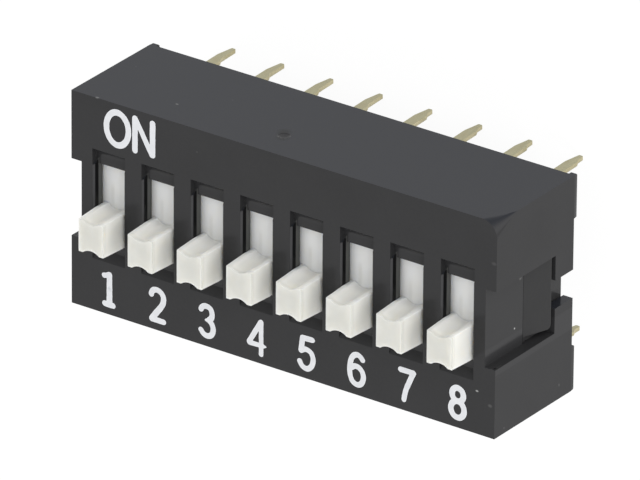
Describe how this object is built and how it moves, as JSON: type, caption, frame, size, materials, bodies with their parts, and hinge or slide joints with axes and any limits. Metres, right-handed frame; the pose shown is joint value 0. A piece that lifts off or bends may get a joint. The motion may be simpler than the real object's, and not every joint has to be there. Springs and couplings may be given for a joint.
{
  "type": "dip switch",
  "caption": "Through-hole slide dip switch: black moulded box with a row of white sliding knobs in stepped slots, and two rows of flat solder terminals below.",
  "frame": {"origin": "centre of the seating plane, which is the plane of the four corner feet, midway between the two rows of terminals and midway along the row of switches", "axes": "+X along the row of switches, from the first to the last; +Y towards the ON side; +Z the way the knobs stand, with the terminals going down"},
  "size_m": [0.0216, 0.01, 0.0102],
  "materials": {
    "cover_plastic": "satin moulded black thermoplastic with a fine spark-eroded grain",
    "base_plastic": "satin moulded black thermoplastic",
    "slider_plastic": "smooth warm white thermoplastic",
    "contact_metal": "thin gold-plated spring strip",
    "terminal_metal": "tin-plated stamped strip with warm cut edges",
    "pad_print": "white pad-printed ink"
  },
  "bodies": {
    "housing": {"cover": "cover_plastic", "base": "base_plastic", "terminal_1a": "terminal_metal", "terminal_2a": "terminal_metal", "terminal_3a": "terminal_metal", "terminal_4a": "terminal_metal", "terminal_5a": "terminal_metal", "terminal_6a": "terminal_metal", "terminal_7a": "terminal_metal", "terminal_8a": "terminal_metal", "terminal_1b": "terminal_metal", "terminal_2b": "terminal_metal", "terminal_3b": "terminal_metal", "terminal_4b": "terminal_metal", "terminal_5b": "terminal_metal", "terminal_6b": "terminal_metal", "terminal_7b": "terminal_metal", "terminal_8b": "terminal_metal"},
    "switch_1": {"slider_1": "slider_plastic", "contact_1": "contact_metal"},
    "switch_2": {"slider_2": "slider_plastic", "contact_2": "contact_metal"},
    "switch_3": {"slider_3": "slider_plastic", "contact_3": "contact_metal"},
    "switch_4": {"slider_4": "slider_plastic", "contact_4": "contact_metal"},
    "switch_5": {"slider_5": "slider_plastic", "contact_5": "contact_metal"},
    "switch_6": {"slider_6": "slider_plastic", "contact_6": "contact_metal"},
    "switch_7": {"slider_7": "slider_plastic", "contact_7": "contact_metal"},
    "switch_8": {"slider_8": "slider_plastic", "contact_8": "contact_metal"}
  },
  "joints": [
    {"name": "switch_1_slide", "type": "slide", "parent": "housing", "child": "switch_1", "axis": [0, 1, 0], "range_m": [0, 0.00182]},
    {"name": "switch_2_slide", "type": "slide", "parent": "housing", "child": "switch_2", "axis": [0, 1, 0], "range_m": [0, 0.00182]},
    {"name": "switch_3_slide", "type": "slide", "parent": "housing", "child": "switch_3", "axis": [0, 1, 0], "range_m": [0, 0.00182]},
    {"name": "switch_4_slide", "type": "slide", "parent": "housing", "child": "switch_4", "axis": [0, 1, 0], "range_m": [0, 0.00182]},
    {"name": "switch_5_slide", "type": "slide", "parent": "housing", "child": "switch_5", "axis": [0, 1, 0], "range_m": [0, 0.00182]},
    {"name": "switch_6_slide", "type": "slide", "parent": "housing", "child": "switch_6", "axis": [0, 1, 0], "range_m": [0, 0.00182]},
    {"name": "switch_7_slide", "type": "slide", "parent": "housing", "child": "switch_7", "axis": [0, 1, 0], "range_m": [0, 0.00182]},
    {"name": "switch_8_slide", "type": "slide", "parent": "housing", "child": "switch_8", "axis": [0, 1, 0], "range_m": [0, 0.00182]}
  ]
}
